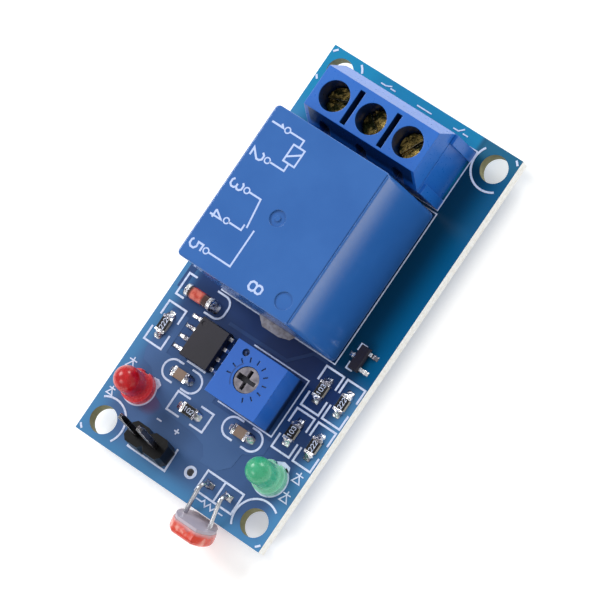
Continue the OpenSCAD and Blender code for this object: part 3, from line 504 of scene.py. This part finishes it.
def plastic(name, base, dark, light, rough, edge=0.12, gloss=0.5, grainDepth=0.0001, shadow=None, patch=6):
    # shadow takes the place and gives the parts that lie deep, which are darkened
    finish = Finish(name, {"Specular IOR Level": gloss, "IOR": 1.5})
    at = finish.place()
    broad = finish.noise(patch, 3, at=at)
    fine = finish.noise(0.3, 3, 0.6, at)
    shade = finish.mix(broad.ease(0.3, 0.7), tone(dark), tone(base))
    # painted highlight along the sharp edges, and faint flecks lighter at random
    shade = finish.mix(fine.ease(0.6, 0.85) * 0.05 + finish.wearAndEdgeHighlight(edge) * 0.35, shade, tone(light))
    if shadow:
        shade = finish.mix(shadow(finish, *finish.split(at)), shade, tone("#071228"))
    finish.set({"Base Color": shade, "Roughness": fine * 0.04 + (rough - 0.02),
                "Normal": finish.bump(fine, grainDepth, edge)})
    return finish


def terminalWells(finish, x, y, z):
    # the wells, the slots between them and the arches lie in shadow
    inside = z.within(3.0, 11.5, 0.1) * y.within(16.1, 21.4, 0.15)
    return inside * x.within(-6.9, 7.2, 0.05) * 0.85


dialLook = {"x": 2.8, "y": -10.65, "inner": 1.74, "outer": 1.9}


def trimmerShade(finish, x, y, z):
    # painted shade in the engraved ticks and the dimple, along the engraved arc beside the rotor and at the foot of
    # the +X side
    low, high = [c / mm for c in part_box("trimmer_housing")]
    inside = x.within(low.x + 0.2, high.x - 0.2, 0.05) * y.within(low.y + 0.2, high.y - 0.2, 0.05)
    carved = inside * z.within(low.z + 1, high.z - 0.05, 0.02) * 0.75
    along = y - dialLook["y"]
    across = x - dialLook["x"]
    away = across * across + along * along
    line = away.within(dialLook["inner"] ** 2, dialLook["outer"] ** 2, 0.12)
    line = line * (0 - across).ease(1.22, 1.32) * z.ease(high.z - 0.1, high.z - 0.05) * 0.5
    foot = x.ease(high.x - 0.12, high.x - 0.05) * (1 - z.ease(low.z + 0.7, low.z + 1.3)) * 0.9
    return carved + line + foot


def rotorSlot(finish, x, y, z):
    # painted shade deep in the cross slot, darker towards its floor
    return (1 - z.ease(5.65, 6.3)) * 0.9


relayFinish = plastic("relay_case_blue", "#3066ae", "#2a60a8", "#4c80c6", 0.15, 0.2, 0.12)
relayTop = relayFinish.split(relayFinish.place())[2].ease(12.8, 16.6)
relayFinish.set({"Coat IOR": 1.5, "Coat Roughness": 0.15, "Coat Weight": relayTop * 0.8})
terminalFinish = plastic("terminal_blue", "#1f69c4", "#1b64bc", "#5a92e6", 0.28, 0.12, shadow=terminalWells)
trimmerFinish = plastic("trimmer_blue", "#1d67c8", "#1961c0", "#4f8ae6", 0.34, 0.08, shadow=trimmerShade)
rotorFinish = plastic("rotor_grey", "#a39ca2", "#6f6a72", "#d8d2d8", 0.25, 0.08, shadow=rotorSlot, patch=0.9)
blackFinish = plastic("black_moulding", "#060608", "#040405", "#2b2b30", 0.3, 0.06, 0.25, 0.006)
chipFinish = plastic("chip_case", "#221e2b", "#1c1924", "#3f3b48", 0.4, 0.05, 0.4, 0.006)
relayBaseFinish = plastic("relay_base_dark", "#16233c", "#101a2e", "#25344f", 0.5)
bobbinFinish = plastic("bobbin_white", "#e4e2da", "#d4d1c6", "#f4f3ee", 0.45)
dress(relayFinish, "relay_cover")
dress(terminalFinish, "terminal_housing")
dress(trimmerFinish, "trimmer_housing")
dress(rotorFinish, "trimmer_rotor")
dress(blackFinish, "header_block")
dress(chipFinish, "comparator_case", "transistor_case")
dress(relayBaseFinish, "relay_base")
dress(bobbinFinish, "relay_bobbin")
print("plastics ready")


# Metals

def metal(name, base, other, rough, grain=0.4, depth=0.02, edge=0.05, edgeGlint=None):
    # the last colour is a painted glint along the sharp edges
    finish = Finish(name, {"Metallic": 1.0})
    at = finish.place()
    patch = finish.noise(grain * 3, 3, at=at)
    fine = finish.noise(grain, 4, 0.65, at)
    shade = finish.mix(patch.ease(0.42, 0.58), tone(base), tone(other))
    if edgeGlint:
        # painted glint along the sharp edges
        shade = finish.mix(finish.wearAndEdgeHighlight(edge), shade, tone(edgeGlint))
    finish.set({"Base Color": shade,
                "Roughness": fine * 0.25 + (rough - 0.1),
                "Normal": finish.bump(fine * 0.4 + patch, depth, edge)})
    return finish


solderFinish = metal("bright_solder", "#f6f6f8", "#85848f", 0.18, 0.4, 0.16)
tinFinish = metal("tinned_metal", "#dcdde0", "#b9bac0", 0.2, 1.2, 0.002)
pinFinish = metal("dull_pins", "#5d5a60", "#38363b", 0.26, 0.6, 0.003, 0.1, "#f4f3f5")
screwFinish = metal("yellow_zinc", "#a08a50", "#262b1a", 0.14, 0.42, 0.24, 0.1, "#f8f2d6")
cageFinish = metal("cage_nickel", "#c4c0b4", "#9c9889", 0.35)
ironFinish = metal("plated_iron", "#a9abb0", "#85878d", 0.4)
brassFinish = metal("spring_brass", "#d6ad5c", "#b98c3e", 0.3)
copperWireFinish = Finish("enamelled_wire", {"Metallic": 0.9, "Coat Weight": 0.5})
turns = (copperWireFinish.split(copperWireFinish.place())[2] * 16).wave()
copperWireFinish.set({"Base Color": copperWireFinish.mix(turns * 0.5 + 0.5, tone("#7a3414"), tone("#c96f34")),
                      "Roughness": turns * 0.05 + 0.3, "Normal": copperWireFinish.bump(turns, 0.05)})
dress(solderFinish, "through_solder", "surface_solder", "resistor_ends", "capacitor_ends", "comparator_leads",
      "transistor_legs", "diode_caps")
dress(tinFinish, "relay_coil_pins", "relay_common_pin", "terminal_tongues", "trimmer_pins", "photocell_leads",
      "red_lamp_leads", "green_lamp_leads")
dress(pinFinish, "header_pins")
dress(screwFinish, "terminal_screw_1", "terminal_screw_2", "terminal_screw_3")
dress(cageFinish, "clamp_cage_1", "clamp_cage_2", "clamp_cage_3")
dress(ironFinish, "relay_core", "relay_yoke", "relay_armature")
dress(brassFinish, "relay_moving_contact", "relay_open_contact", "relay_closed_contact", "trimmer_wiper")
dress(copperWireFinish, "relay_winding")
print("metals ready")


# Lamps, photocell, glass and ceramics

def lens(name, base, deep, rimTone):
    # a faint painted glow by emission stands in for light scattered in the plastic
    finish = Finish(name, {"Coat Weight": 0.3, "Coat Roughness": 0.22, "IOR": 1.45, "Transmission Weight": 0.1,
                           "Subsurface Weight": 0.5, "Subsurface Radius": (0.0015, 0.0008, 0.0008),
                           "Subsurface Scale": 1.0, "Emission Strength": 0.16})
    at = finish.place()
    z = finish.split(at)[2]
    haze = finish.noise(0.9, 3, at=at)
    shade = finish.mix(haze.ease(0.3, 0.75), tone(deep), tone(base))
    # the lens is paler towards its foot, and a painted highlight lightens its sharp edges
    foot = (1 - z.ease(2.9, 4.2)) * 0.45
    shade = finish.mix(foot + finish.wearAndEdgeHighlight(0.12) * 0.5, shade, tone(rimTone))
    finish.set({"Base Color": shade, "Emission Color": shade, "Roughness": haze * 0.1 + 0.22,
                "Normal": finish.bump(haze, 0.004, 0.1)})
    return finish


dress(lens("red_lens", "#c80e1a", "#ae0812", "#e8505a"), "red_lamp_lens")
dress(lens("green_lens", "#42ab80", "#35a074", "#a8e2cc"), "green_lamp_lens")

resinFinish = Finish("red_resin", {"Coat Weight": 0.6, "Coat Roughness": 0.06, "Subsurface Weight": 0.3,
                                   "Subsurface Radius": (0.001, 0.0003, 0.0002)})
at = resinFinish.place()
x, y, z = resinFinish.split(at)
# depth below the back of the photocell, which leans out over the edge of the board
deep = (y + 25.85) * -0.927 - (z - 2.0) * 0.375
milkAndSheen = resinFinish.noise(1.3, 3, 0.5, at)
# the pink patches are painted highlights on the resin
resinColour = resinFinish.mix(milkAndSheen.ease(0.5, 0.68), tone("#dc3d20"), tone("#ea9686"))
resinColour = resinFinish.mix(1 - milkAndSheen.ease(0.36, 0.44), resinColour, tone("#c02a10"))
resinColour = resinFinish.mix(1 - (deep + milkAndSheen * 0.6).ease(0.55, 1.15), resinColour, tone("#d9a9ac"))
resinFinish.set({"Base Color": resinColour, "Roughness": milkAndSheen * 0.15 + 0.12,
                 "Normal": resinFinish.bump(milkAndSheen, 0.15, 0.15)})
dress(resinFinish, "photocell_coating")


def ceramic(name, base, dark, rough, grain=0.3):
    finish = Finish(name, {"IOR": 1.5})
    at = finish.place()
    fine = finish.noise(grain, 4, 0.6, at)
    broad = finish.noise(grain * 8, 2, at=at)
    finish.set({"Base Color": finish.mix(fine * 0.5 + broad * 0.5, tone(dark), tone(base)),
                "Roughness": fine * 0.2 + rough - 0.1,
                "Normal": finish.bump(fine, 0.02, 0.05)})
    return finish


dress(ceramic("white_ceramic", "#c9c0cb", "#a89dab", 0.35), "photocell_disc", "trimmer_element")
dress(ceramic("resistor_ceramic", "#d8d2c4", "#b5ad9c", 0.5, 0.15), "resistor_bodies")
dress(ceramic("capacitor_brown", "#9a806c", "#6c5444", 0.4, 0.2), "capacitor_bodies")

glassFinish = Finish("orange_glass", {"Coat Weight": 1.0, "Coat Roughness": 0.04, "IOR": 1.5})
gx = glassFinish.split(glassFinish.place())[0]
swirlAndSheen = glassFinish.noise(0.6, 3)
# the pink swirls are painted highlights; the glass darkens towards both ends
glow = glassFinish.mix(swirlAndSheen.ease(0.35, 0.65), tone("#c03420"), tone("#e2705c"))
glow = glassFinish.mix(1 - gx.ease(-10.15, -9.8), glow, tone("#3a0c0a"))
glassFinish.set({"Base Color": glassFinish.mix(gx.ease(-8.7, -8.3), glow, tone("#3a100c")),
                 "Roughness": swirlAndSheen * 0.1 + 0.1})
dress(glassFinish, "diode_glass")
print("lenses, resin and ceramics ready")

roundOff(30, "relay_cover", "photocell_leads", "red_lamp_lens", "green_lamp_lens", "diode_glass", "diode_caps",
         "terminal_housing", "trimmer_housing", "trimmer_rotor", "photocell_coating", "photocell_disc",
         "circuit_board", "through_solder", "relay_winding", "relay_core", "terminal_screw_1",
         "terminal_screw_2", "terminal_screw_3", "relay_coil_pins", "trimmer_pins", "trimmer_wiper",
         "comparator_case")


# The trimmer was left with its cross square to the board: the same rotor, turned on its axis

rotorLook = {"turn": -28}
axle = Matrix.Translation((dialLook["x"] * mm, dialLook["y"] * mm, 0))
setRotor = nodes["trimmer_rotor"].data.copy()
setRotor.transform(axle @ Matrix.Rotation(math.radians(rotorLook["turn"]), 4, "Z") @ axle.inverted())
rotorPiece = bpy.data.objects.new("set_rotor", setRotor)
bpy.context.scene.collection.objects.link(rotorPiece)
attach(rotorPiece, "rotor")
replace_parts(rotorPiece, "trimmer_rotor")


# Solder: a lump over each end of a chip, each foot of a case and each photocell lead

lumpLook = {"across": 10, "along": 12, "wobble": 0.09}
draws = random.Random(11)
lumps = Bag()


def lump(x, y, turn, profile, half, tip):
    # profile is [(distance, height), ...] outward from the chip; half and tip are half widths
    across, along = lumpLook["across"], lumpLook["along"]
    spin = Matrix.Rotation(math.radians(turn), 2)
    phase = [draws.uniform(0, 6.3) for _ in range(4)]
    points, faces = [], []
    total = profile[-1][0] - profile[0][0]
    for i in range(along + 1):
        s = profile[0][0] + total * i / along
        for (s0, h0), (s1, h1) in zip(profile, profile[1:]):
            if s0 <= s <= s1 + 1e-9:
                h = h0 + (h1 - h0) * (s - s0) / (s1 - s0)
        width = half + (tip - half) * (i / along) ** 1.5
        width *= 1 + lumpLook["wobble"] * math.sin(3 * i / along * 3.1 + phase[0])
        for j in range(across + 1):
            t = 2 * j / across - 1
            rise = h * math.sqrt(max(0.0, 1 - abs(t) ** 3))
            rise *= 1 + 2 * lumpLook["wobble"] * math.sin(5 * t + phase[1]) * math.sin(i * 0.9 + phase[2])
            local = spin @ Vector((s, t * width))
            points.append((x + local.x, y + local.y, top + 0.002 + rise))
    count = len(points)
    points += [(p[0], p[1], top) for p in points]
    row = across + 1
    for i in range(along):
        for j in range(across):
            a = i * row + j
            faces.append([a, a + row, a + row + 1, a + 1])
            faces.append([count + a, count + a + 1, count + a + row + 1, count + a + row])
    for i in range(along):
        a = i * row
        b = a + across
        faces.append([a, count + a, count + a + row, a + row])
        faces.append([b, b + row, count + b + row, count + b])
    for j in range(across):
        a, b = j, along * row + j
        faces.append([a, a + 1, count + a + 1, count + a])
        faces.append([b, count + b, count + b + 1, b + 1])
    lumps.put(points, faces)


resistors = ((-10.97, -10.46, 90, "222"), (8.65, -7, 90, "103"), (11.56, -7, 90, "222"), (8.58, -12.44, 90, "103"),
             (11.55, -12.46, 90, "222"), (-2.74, -16.72, 0, "102"))
chips = [(cx, cy, turn, 0.5) for cx, cy, turn, code in resistors] + [(-5.85, -14.05, 0, 0.8), (3.8, -15.58, 0, 0.8)]
for cx, cy, turn, h in chips:
    for flip in (0, 180):
        reachOut = draws.uniform(1.62, 1.85)
        lump(cx, cy, turn + flip, [(0.74, 0), (0.8, h + 0.05), (1.02, h + 0.06), (1.22, h * 0.72),
                                   (1.45, h * 0.3), (reachOut, 0.0)], 0.64, 0.36)
for flip in (0, 180):
    for i in range(4):
        local = (i - 1.5) * 1.27 * (1 if flip == 0 else -1)
        lump(-5.2, -9.8 + local, flip, [(2.3, 0.0), (2.4, 0.42), (2.7, 0.36), (3.0, 0.3), (3.5, 0.2), (3.78, 0)],
             0.3, 0.24)
for turn, dy in ((0, -0.95), (0, 0.95), (180, 0)):
    lump(10.4, -2 + dy, turn, [(0.95, 0.0), (1.0, 0.34), (1.2, 0.3), (1.4, 0.15), (1.62, 0)], 0.32, 0.24)
for flip in (0, 180):
    lump(-9.02, -5.95, flip, [(1.6, 0), (1.68, 1.1), (1.85, 0.95), (2.0, 0.6), (2.2, 0.25), (2.45, 0)], 0.72, 0.5)
for cx in (3.98, 6.52):
    lump(cx - 0.62, -22.0, 0, [(0, 0), (0.25, 0.28), (0.55, 0.42), (0.8, 0.34), (1.24, 0)], 0.5, 0.35)
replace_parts(lumps.piece("solder_lumps", "board", solderFinish, True), "surface_solder")

# black top and numerals of each chip resistor
coatFinish = plastic("resistor_black", "#0c0c0e", "#08080a", "#2c2c31", 0.3, 0.05, 0.35)
coats = Bag()
codes = Bag()
for cx, cy, turn, code in resistors:
    wide, deep = (0.57, 0.66) if turn else (0.66, 0.57)
    plate(coats, [(cx - wide, cy - deep), (cx + wide, cy - deep), (cx + wide, cy + deep), (cx - wide, cy + deep)],
          top + 0.49, top + 0.53)
    figures(codes, code, (cx, cy), 0.5, turn, 0.075, top + 0.53, top + 0.54)
coats.piece("resistor_coats", "board", coatFinish)
codes.piece("resistor_numerals", "board", printFinish)
print("solder and chips ready")


# Relay print: a plain wiring sign with numerals, read towards the small components

relayLook = {"sign": -6.25, "pad": -4.9, "numeral": 1.5, "line": 0.2, "colour": "#bccdf2", "faded": "#8fabe0"}
relayPrintFinish = Finish("relay_print", {"Roughness": 0.5, "Specular IOR Level": 0.3})
faded = relayPrintFinish.noise(0.25, 4, 0.7)
relayPrintFinish.set({"Base Color": relayPrintFinish.mix(faded.ease(0.5, 0.8), tone(relayLook["colour"]),
                                                         tone(relayLook["faded"])), "Roughness": faded * 0.2 + 0.4})
relayPrint = Bag()
low, high = [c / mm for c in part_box("relay_cover")]
rx, ry, rTop = (low.x + high.x) / 2, (low.y + high.y) / 2, high.z


def onRelay(path, width=relayLook["line"]):
    ribbon(relayPrint, [(rx + a, ry + b) for a, b in path], width, rTop - 0.005, rTop + 0.015)


pad = relayLook["pad"]
for text, b in (("1", 7.6), ("2", 3.8), ("3", 0.0), ("4", -3.8), ("5", -7.6)):
    figures(relayPrint, text, (rx + relayLook["sign"], ry + b), relayLook["numeral"], -90, 0.22,
            rTop - 0.005, rTop + 0.015)
    onRelay(ring(pad, b, 0.32), 0.15)
onRelay(rect(-3.4, 4.7, -1.9, 6.7))
onRelay([(-3.4, 5.2), (-1.9, 6.2)])
onRelay([(pad + 0.32, 7.6), (-2.65, 7.6), (-2.65, 6.7)])
onRelay([(pad + 0.32, 3.8), (-2.65, 3.8), (-2.65, 4.7)])
onRelay([(pad + 0.32, 0.0), (-3.0, 0.0), (-2.5, -3.3)])
onRelay([(pad + 0.32, -3.8), (-2.9, -3.8), (-2.9, -3.1)])
onRelay([(pad + 0.32, -7.6), (-1.6, -7.6), (-1.6, -3.1)])
figures(relayPrint, "8", (rx + 2.2, ry - 8.0), 1.6, -90, 0.24, rTop - 0.005, rTop + 0.015)
relayPrint.piece("relay_print", "board", relayPrintFinish)

print("scene complete")
